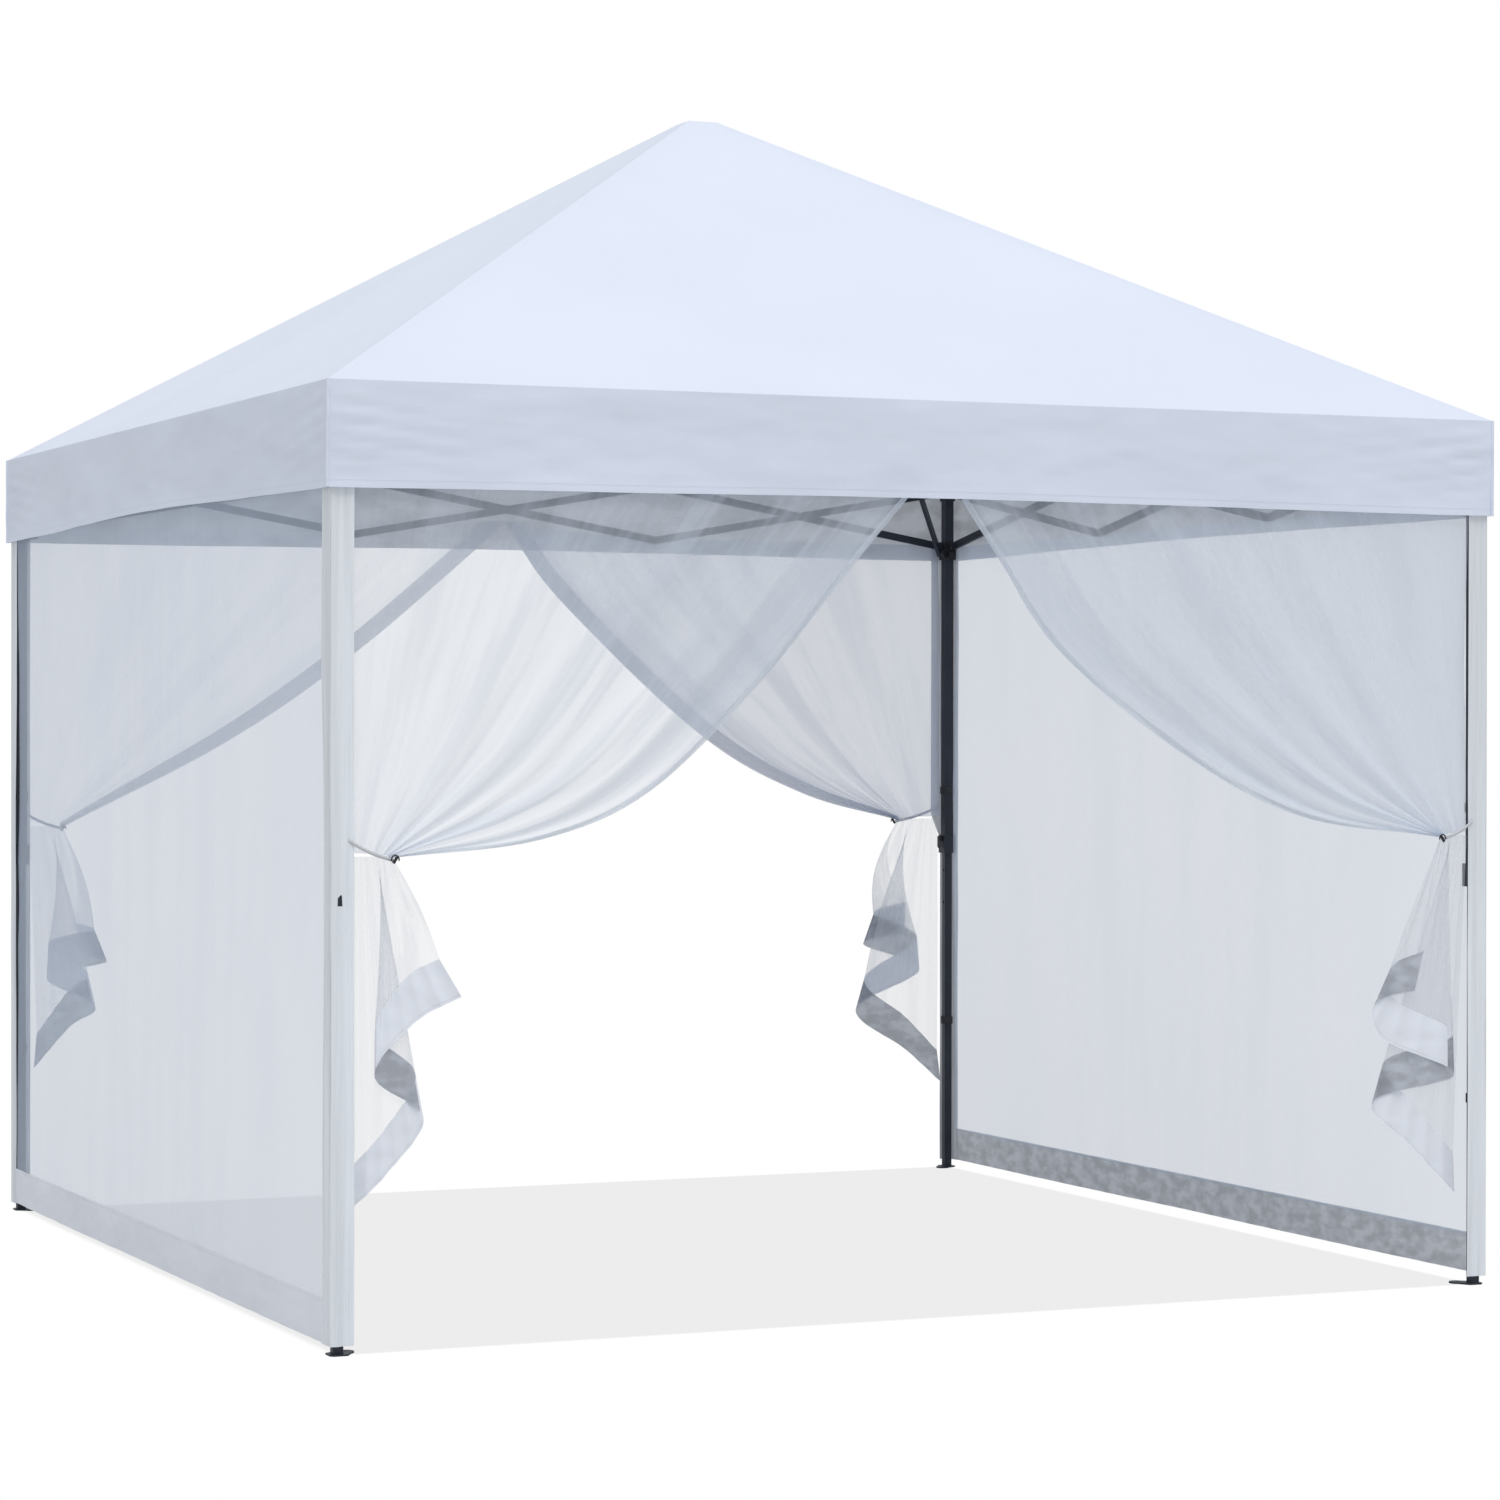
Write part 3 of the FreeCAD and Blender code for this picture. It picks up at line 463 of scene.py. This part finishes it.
# Valance
def valance_half(leg, flip):
    reach = EAVE_HALF - HALF
    arch = 0.018 if (leg, flip) in ((3, False), (0, True)) else 0.008
    columns, levels = 90, 18
    rows = []
    for r in range(levels + 1):
        down = r / levels
        row = []
        for c in range(columns + 1):
            share = c / columns
            along = -reach + (HALF + reach) * share
            meet = 1 - share ** 8
            low = VALANCE_LOW + arch * math.sin(math.pi * 0.5 * share) ** 2
            low += ripple(leg, along, 2.0, 2.2, 0.002) * meet
            z = EAVE + (low - EAVE) * down
            loose = down ** 1.4 * (1 - math.exp(-share * 14)) * meet
            wave = 0.0035 * math.sin(along * 9.0 + leg) + 0.002 * math.sin(along * 23.0 + 2 * leg)
            pull = math.exp(-share * 9) * math.sin(38 * down - 30 * share) * 0.006
            pull *= 1 - math.exp(-share * 40)
            inset = wave * loose + pull * math.sin(math.pi * down) * meet
            inset += ripple(leg + 3, along, z, 4.0, 0.003) * loose
            hem = 0.0012 * min(1, share * 30) if down > 0.93 else 0.0
            out = -reach + max(-0.0035, min(inset, 0.001)) - hem
            row.append(on_leg(leg, flip, along, out, z))
        rows.append(row)
    piece = grid_piece("valance_%s_%d" % (LEGS[leg], flip), rows, COVER, flip=not flip)
    declare(piece, 1.5, 0.24)
    hang(piece, leg)


def corner_bead(leg):
    reach = EAVE_HALF - HALF
    path = []
    for i in range(25):
        z = EAVE + (VALANCE_LOW - EAVE) * i / 24
        wobble = ripple(leg + 40, z, 0, 9.0, 0.002)
        path.append(on_leg(leg, False, -reach + wobble - 0.0006, -reach - wobble - 0.0006, z))
    bead = tube("corner_bead_" + LEGS[leg], path, 0.0042, COVER, 8)
    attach(bead, "upper_leg_" + LEGS[leg])


for leg in range(4):
    corner_bead(leg)
    for flip in (False, True):
        valance_half(leg, flip)


# Leg sleeves
def leg_sleeve(leg):
    # two faces that meet at the leg's outer corner, with long folds down them
    reach = WIDE_SLEEVE if leg == REAR_RIGHT else SLEEVE_REACH
    steps = [NET_FACE + (SLEEVE_REACH - NET_FACE) * k / 12 for k in range(13)]
    wide = [NET_FACE + (reach - NET_FACE) * k / 12 for k in range(13)]
    profile = [(x, 0) for x in reversed(wide)] + [(y, 1) for y in steps[1:]]
    levels = 120
    button_low, button_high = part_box("leg_button_" + LEGS[leg])
    button = (button_low.z + button_high.z) / 2
    farthest = max(abs(v) for point in (button_low, button_high) for v in (point.x, point.y))
    poke = farthest - HALF + NET_FACE
    rows = []
    for r in range(levels + 1):
        z = HEM_LOW - 0.002 + (NET_TOP - HEM_LOW) * r / levels
        row = []
        for run, side in profile:
            away = min(1, (run - NET_FACE) / 0.012)
            where = Vector((run * 42 + 0.12 * z, z * 1.5, leg * 3.7 + side))
            drape = 0.0045 * noise.fractal(where, 1, 2, 3) * away
            drape = max(-0.0045, min(drape, 0.0055))
            drape -= max(0, poke + 0.005) * math.exp(-((z - button) / 0.045) ** 4) * away
            if leg == REAR_RIGHT and not side and z < 1.11:
                run = min(run, 0.012 + 0.034 * max(0, (z - 1.03) / 0.08))
            x, y = (NET_FACE + drape, run) if side else (run, NET_FACE + drape)
            row.append(on_leg(leg, False, x, y, z))
        rows.append(row)
    piece = grid_piece("sleeve_" + LEGS[leg], rows, SLEEVE, flip=True)
    declare(piece, 0.12, 1.93)
    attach(piece, "upper_leg_" + LEGS[leg])


for leg in range(4):
    leg_sleeve(leg)


# Closed net walls
def net_half(leg, flip):
    columns, levels = 60, 60
    start = SLEEVE_REACH - 0.004
    rows = []
    for r in range(levels + 1):
        z = HEM_TOP - 0.006 + (NET_TOP - HEM_TOP) * r / levels
        row = []
        for c in range(columns + 1):
            along = start + (HALF - start) * c / columns
            slack = math.sin(math.pi * (r / levels))
            drift = 0.006 * slack * (0.5 + 0.5 * math.sin(along * 2.4 + leg))
            drift += abs(ripple(leg + 9, along, z, 1.7, 0.008)) * slack
            drift *= 1 - (along / HALF) ** 8
            row.append(on_leg(leg, flip, along, NET_FACE + 0.005 + drift, z))
        rows.append(row)
    net = grid_piece("net_%s_%d" % (LEGS[leg], flip), rows, NET, flip=flip)
    declare(net, HALF, 1.84)
    hang(net, leg)
    rows = []
    for r in range(7):
        z = HEM_LOW + (HEM_TOP - HEM_LOW) * r / 6
        row = []
        for c in range(columns + 1):
            along = start + (HALF - start) * c / columns
            drift = abs(ripple(leg + 5, along, z, 6.0, 0.004)) * (1 - (along / HALF) ** 8)
            dip = 0.004 * math.sin(math.pi * along / HALF)
            row.append(on_leg(leg, flip, along, NET_FACE + drift, z - dip * (1 - r / 6) * 0.4))
        rows.append(row)
    hem = grid_piece("net_hem_%s_%d" % (LEGS[leg], flip), rows, HEM, flip=flip)
    declare(hem, HALF, HEM_BAND)
    hang(hem, leg)
    return net


for leg, flip in ((1, False), (2, True), (3, False), (0, True)):
    wall = net_half(leg, flip)
    if leg == 1:
        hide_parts("net_walls")


# Door curtains, in points (along, z): the open edge from the top rail to the tie,
# and the foot of the loose end, back and forth from the leg
DOORS = {
    (0, False): {
        "edge": [(1.415, 1.957), (1.395, 1.93), (1.249, 1.765), (1.010, 1.488), (0.740, 1.240),
                 (0.475, 1.130), (0.118, 1.092)],
        "zigzag": [(0.033, 0.313), (0.120, 0.395), (0.202, 0.515), (0.086, 0.610),
                   (0.176, 0.726), (0.284, 0.782)],
        "bulge": 0.01,
    },
    (1, True): {
        "edge": [(1.447, 1.957), (1.436, 1.926), (1.326, 1.771), (1.168, 1.562), (0.844, 1.326),
                 (0.511, 1.168), (0.105, 1.112)],
        "zigzag": [(0.040, 0.227), (0.168, 0.345), (0.287, 0.462), (0.052, 0.522),
                   (0.262, 0.616), (0.290, 0.705), (0.180, 0.735)],
        "bulge": 0.0,
    },
    (2, False): {
        "edge": [(1.475, 2.000), (1.300, 1.770), (0.847, 1.367), (0.502, 1.181), (0.165, 1.092)],
        "zigzag": [(0.030, 0.270), (0.150, 0.375), (0.318, 0.503), (0.095, 0.622),
                   (0.288, 0.706), (0.140, 0.735)],
        "bulge": 0.05,
    },
    (3, True): {
        "edge": [(1.470, 2.000), (1.425, 1.950), (1.009, 1.604), (0.614, 1.339), (0.123, 1.093)],
        "zigzag": [(0.034, 0.405), (0.140, 0.520), (0.216, 0.575), (0.075, 0.660),
                   (0.250, 0.702), (0.186, 0.720)],
        "bulge": 0.02,
    },
}


def smooth_path(points, count):
    # a curve through the points, evenly spaced along its length
    data = np.array(points, float)
    ends = np.vstack([2 * data[0] - data[1], data, 2 * data[-1] - data[-2]])
    dense = []
    for i in range(1, len(ends) - 2):
        for step in range(24):
            t = step / 24
            p0, p1, p2, p3 = ends[i - 1:i + 3]
            dense.append(0.5 * (2 * p1 + (p2 - p0) * t + (2 * p0 - 5 * p1 + 4 * p2 - p3) * t * t
                                + (3 * p1 - p0 - 3 * p2 + p3) * t ** 3))
    dense.append(data[-1])
    dense = np.array(dense)
    run = np.concatenate([[0], np.cumsum(np.linalg.norm(np.diff(dense, axis=0), axis=1))])
    wanted = np.linspace(0, run[-1], count)
    return np.stack([np.interp(wanted, run, dense[:, k]) for k in range(data.shape[1])], axis=1)


def swag(leg, flip, door):
    columns, levels = 120, 46
    edge = smooth_path(door["edge"], levels + 1)
    tie = edge[-1]
    start = SLEEVE_REACH - 0.006
    far = edge[0][0]
    chord = np.linspace(edge[0], edge[-1], levels + 1)
    rows = []
    for r in range(levels + 1):
        share = r / levels
        row = []
        for c in range(columns + 1):
            place = c / columns
            rail = NET_TOP + (edge[0][1] - NET_TOP) * place ** 6
            top = np.array([start + (far - start) * place, rail])
            gathered = tie[0] - (tie[0] - start) * (1 - place) ** 3
            low = np.array([gathered, tie[1] + 0.012 * (1 - place)])
            straight = top + (low - top) * share
            bow = (edge[r] - chord[r]) * place ** 1.6
            along, z = straight + bow
            gather = share ** 1.5
            folds = math.sin(place ** 1.5 * 2 * math.pi * 7 + 0.6 * leg) * 0.5 + 0.5
            broad = math.sin(place * 2 * math.pi * 4.3 + leg + 2 * share) * 0.5 + 0.5
            slack = 0.003 + 0.016 * gather * folds + 0.012 * math.sin(math.pi * share) * broad
            slack += abs(ripple(leg + 20, place * 3, share, 3.0, 0.008)) * math.sin(math.pi * share)
            row.append(on_leg(leg, flip, along, NET_FACE + 0.001 + slack, z))
        rows.append(row)
    piece = grid_piece("curtain_" + LEGS[leg], rows, CURTAINS[leg][0], flip=not flip)
    declare(piece, 1.44, 1.1)
    hang(piece, leg)
    # the bound edge, a strip of denser cloth just inside the curtain
    width = FRONT_EDGE if leg < REAR_RIGHT else REAR_EDGE
    rows = []
    for r in range(levels + 1):
        share = r / levels
        lean = edge[min(r + 1, levels)] - edge[max(r - 1, 0)]
        lean = lean / np.linalg.norm(lean)
        across = np.array([lean[1], -lean[0]])
        if across[1] < 0:
            across = -across
        row = []
        for c in range(6):
            narrow = 1 - 0.75 * share ** 4
            along, z = edge[r] + across * width * narrow * c / 5
            z = min(z, max(NET_TOP, edge[0][1]))
            along = min(along, HALF)
            out = NET_FACE + 0.0006 + 0.002 * math.sin(26 * share + c * 0.8)
            row.append(on_leg(leg, flip, along, out + 0.004, z))
        rows.append(row)
    band = grid_piece("curtain_edge_" + LEGS[leg], rows, CURTAINS[leg][1], flip=not flip)
    declare(band, width, 1.8)
    hang(band, leg)
    return tie


def flap(leg, flip, door, tie):
    # the loose foot of the curtain: it falls from the tie and folds back and forth
    columns = 110
    turns = door["zigzag"]
    last = len(turns) - 1
    path = smooth_path([(a, z, 0.006 * (last - i)) for i, (a, z) in enumerate(turns)], columns + 1)
    rows_net, rows_hem = [], []
    crown = np.array([tie[0] - BUNDLE_START, tie[1] + 0.004])
    for step in range(25):
        down = step / 24
        row = []
        for c in range(columns + 1):
            low = path[c][:2]
            to_tie = crown - low
            hem_top = low + to_tie / np.linalg.norm(to_tie) * 0.098
            place = c / columns
            spread = (tie[0] + 0.002 - BUNDLE_START) * place ** 0.6
            bundle = np.array([BUNDLE_START + spread, crown[1]])
            point = bundle + (hem_top - bundle) * down
            point[0] += door["bulge"] * math.sin(math.pi * down) * place
            point[0] = max(point[0], FLAP_START)
            fold = 0.008 * math.sin(place * 2 * math.pi * 7 + leg)
            fold *= math.sin(math.pi * (0.15 + 0.7 * down))
            out = NET_FACE + 0.006 + path[c][2] * down + abs(fold)
            row.append(on_leg(leg, flip, point[0], out, point[1]))
        rows_net.append(row)
    for step in range(6):
        down = step / 5
        row = []
        for c in range(columns + 1):
            low = path[c][:2]
            to_tie = crown - low
            hem_top = low + to_tie / np.linalg.norm(to_tie) * HEM_BAND
            point = hem_top + (low - hem_top) * down
            place = c / columns
            fold = 0.008 * math.sin(place * 2 * math.pi * 7 + leg) * math.sin(math.pi * 0.85)
            out = NET_FACE + 0.0055 + path[c][2] + abs(fold)
            row.append(on_leg(leg, flip, max(point[0], FLAP_START), out, point[1]))
        rows_hem.append(row)
    net = grid_piece("flap_" + LEGS[leg], rows_net, FLAP, flip=not flip)
    declare(net, 0.7, 0.8)
    hang(net, leg)
    hem = grid_piece("flap_hem_" + LEGS[leg], rows_hem, HEM, flip=not flip)
    declare(hem, 0.7, HEM_BAND)
    hang(hem, leg)


def tie_back(leg, flip, tie):
    # white tape from the leg round the gathered cloth, held by a black toggle
    start = (0.018, tie[1] + 0.040)
    rows = []
    for r in range(15):
        share = r / 14
        along = start[0] + (tie[0] + 0.004 - start[0]) * share
        z = start[1] + (tie[1] - 0.004 - start[1]) * share - 0.006 * math.sin(math.pi * share)
        out = NET_FACE - 0.004 - 0.004 * math.sin(math.pi * share)
        rows.append([on_leg(leg, flip, along, out + 0.001 * abs(c), z + c * 0.0022)
                     for c in range(-2, 3)])
    tape = grid_piece("tie_tape_" + LEGS[leg], rows, CORD, flip=not flip)
    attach(tape, "upper_leg_" + LEGS[leg])
    centre = on_leg(leg, flip, tie[0] + 0.006, NET_FACE - 0.009, tie[1] - 0.004)
    lean = direction(leg, flip, 0.55, 0, 0.83)
    path = [centre + lean * (0.016 * (i / 8 - 0.5)) for i in range(9)]
    toggle = tube("toggle_" + LEGS[leg], path, 0.0036, NYLON, 14)
    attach(toggle, "upper_leg_" + LEGS[leg])
    loop = []
    for i in range(17):
        angle = math.pi * (1.1 * i / 16 - 0.05)
        loop.append(centre + direction(leg, flip, 0.009 * math.cos(angle), 0, 0.011 * math.sin(angle)))
    cord = tube("toggle_loop_" + LEGS[leg], loop, 0.0016, TAPE, 8)
    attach(cord, "upper_leg_" + LEGS[leg])


for (leg, flip), door in DOORS.items():
    knot = swag(leg, flip, door)
    flap(leg, flip, door, knot)
    tie_back(leg, flip, knot)


# Webbing straps round the legs, each with a short tail on its inner side
def leg_strap(name, body, leg, height, half):
    corner = 0.005
    edge = STRAP_WIDTH / 2
    ring = []
    for k, (sx, sy) in enumerate(((1, 1), (-1, 1), (-1, -1), (1, -1))):
        for step in range(5):
            angle = math.pi / 2 * (k + step / 4)
            x = sx * (half - corner) + corner * math.cos(angle)
            y = sy * (half - corner) + corner * math.sin(angle)
            ring.append((x, y))
    ring.append(ring[0])
    rows = []
    for z in (-edge, 0.001 - edge, 0.0, edge - 0.001, edge):
        swell = 0.0 if abs(z) == edge else 0.0006
        grow = 1 + swell / half
        rows.append([on_leg(leg, False, x * grow, y * grow, height + z) for x, y in ring])
    strap = grid_piece(name, rows, TAPE)
    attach(strap, body)
    tail = []
    for r in range(4):
        x = half + 0.0012 + 0.0008 * r
        z = height - edge + STRAP_WIDTH * r / 3
        tail.append([on_leg(leg, False, x, -0.008 + 0.016 * c / 4, z) for c in range(5)])
    end = grid_piece(name + "_end", tail, TAPE)
    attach(end, body)
    return strap


for leg in range(4):
    leg_strap("strap_high_" + LEGS[leg], "upper_leg_" + LEGS[leg], leg,
                            HIGH_STRAP, OUTER_LEG_HALF)
    leg_strap("strap_low_" + LEGS[leg], "lower_leg_" + LEGS[leg], leg,
                            LOW_STRAP, INNER_LEG_HALF)
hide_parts("net_straps")


# Stage: white ground with a pale grey patch where the canopy stands, a painted shadow of the canopy
def ground_and_painted_shadow():
    material, tree = new_material("ground")
    where = node(tree, "ShaderNodeSeparateXYZ", {"Vector": place_of(tree)})
    sideways = maths(tree, "ABSOLUTE", where.outputs[0])
    forward = maths(tree, "ABSOLUTE", where.outputs[1])
    reach = maths(tree, "MAXIMUM", sideways, forward)
    # painted shadow: seen by the camera the ground glows white, and darker grey inside the canopy's
    # footprint
    inside = node(tree, "ShaderNodeMapRange", {
        "Value": reach, "From Min": HALF - 0.01, "From Max": HALF + 0.012, "To Min": 0.845, "To Max": 1.0,
    }).outputs[0]
    seen = node(tree, "ShaderNodeEmission", {"Color": inside, "Strength": 1.0})
    lit = node(tree, "ShaderNodeBsdfDiffuse", {"Color": (0.60, 0.60, 0.61, 1)})
    ray = node(tree, "ShaderNodeLightPath").outputs["Is Camera Ray"]
    both = node(tree, "ShaderNodeMixShader", {0: ray, 1: lit.outputs[0], 2: seen.outputs[0]})
    output(tree, both.outputs[0])
    return material


ground = mesh_piece("ground", [(-30, -30, 0), (30, -30, 0), (30, 30, 0), (-30, 30, 0)], [(0, 1, 2, 3)],
                    ground_and_painted_shadow(), smooth=False)

world = bpy.data.worlds.new("sky")
bpy.context.scene.world = world
world.use_nodes = True
sky = world.node_tree
sky.nodes.clear()
plain = node(sky, "ShaderNodeBackground", {"Color": (1, 1, 1, 1), "Strength": 1.0})
soft = node(sky, "ShaderNodeBackground", {"Color": (0.97, 0.985, 1.0, 1), "Strength": 0.62})
seen = node(sky, "ShaderNodeLightPath").outputs["Is Camera Ray"]
mixed = node(sky, "ShaderNodeMixShader", {0: seen, 1: soft.outputs[0], 2: plain.outputs[0]})
node(sky, "ShaderNodeOutputWorld", {"Surface": mixed.outputs[0]})

sun = bpy.data.lights.new("key", "SUN")
sun.energy = 1.5
sun.angle = math.radians(35)
lamp = bpy.data.objects.new("key", sun)
lamp.rotation_euler = Vector((-0.02, -0.16, 0.40)).to_track_quat("Z", "Y").to_euler()
bpy.context.scene.collection.objects.link(lamp)

# Camera, fitted to the legs and the eaves of the photograph
camera = bpy.data.cameras.new("camera")
camera.sensor_width = 36
camera.lens = 4082 / 1500 * 36
camera.shift_x = 2 / 1500
camera.clip_end = 100
viewer = bpy.data.objects.new("camera", camera)
viewer.location = (-4.2214, -10.0559, 1.3796)
viewer.rotation_euler = (math.radians(90 - 0.308), math.radians(-0.059), math.radians(-23.496))
bpy.context.scene.collection.objects.link(viewer)
bpy.context.scene.camera = viewer
bpy.context.scene.view_settings.view_transform = "Standard"
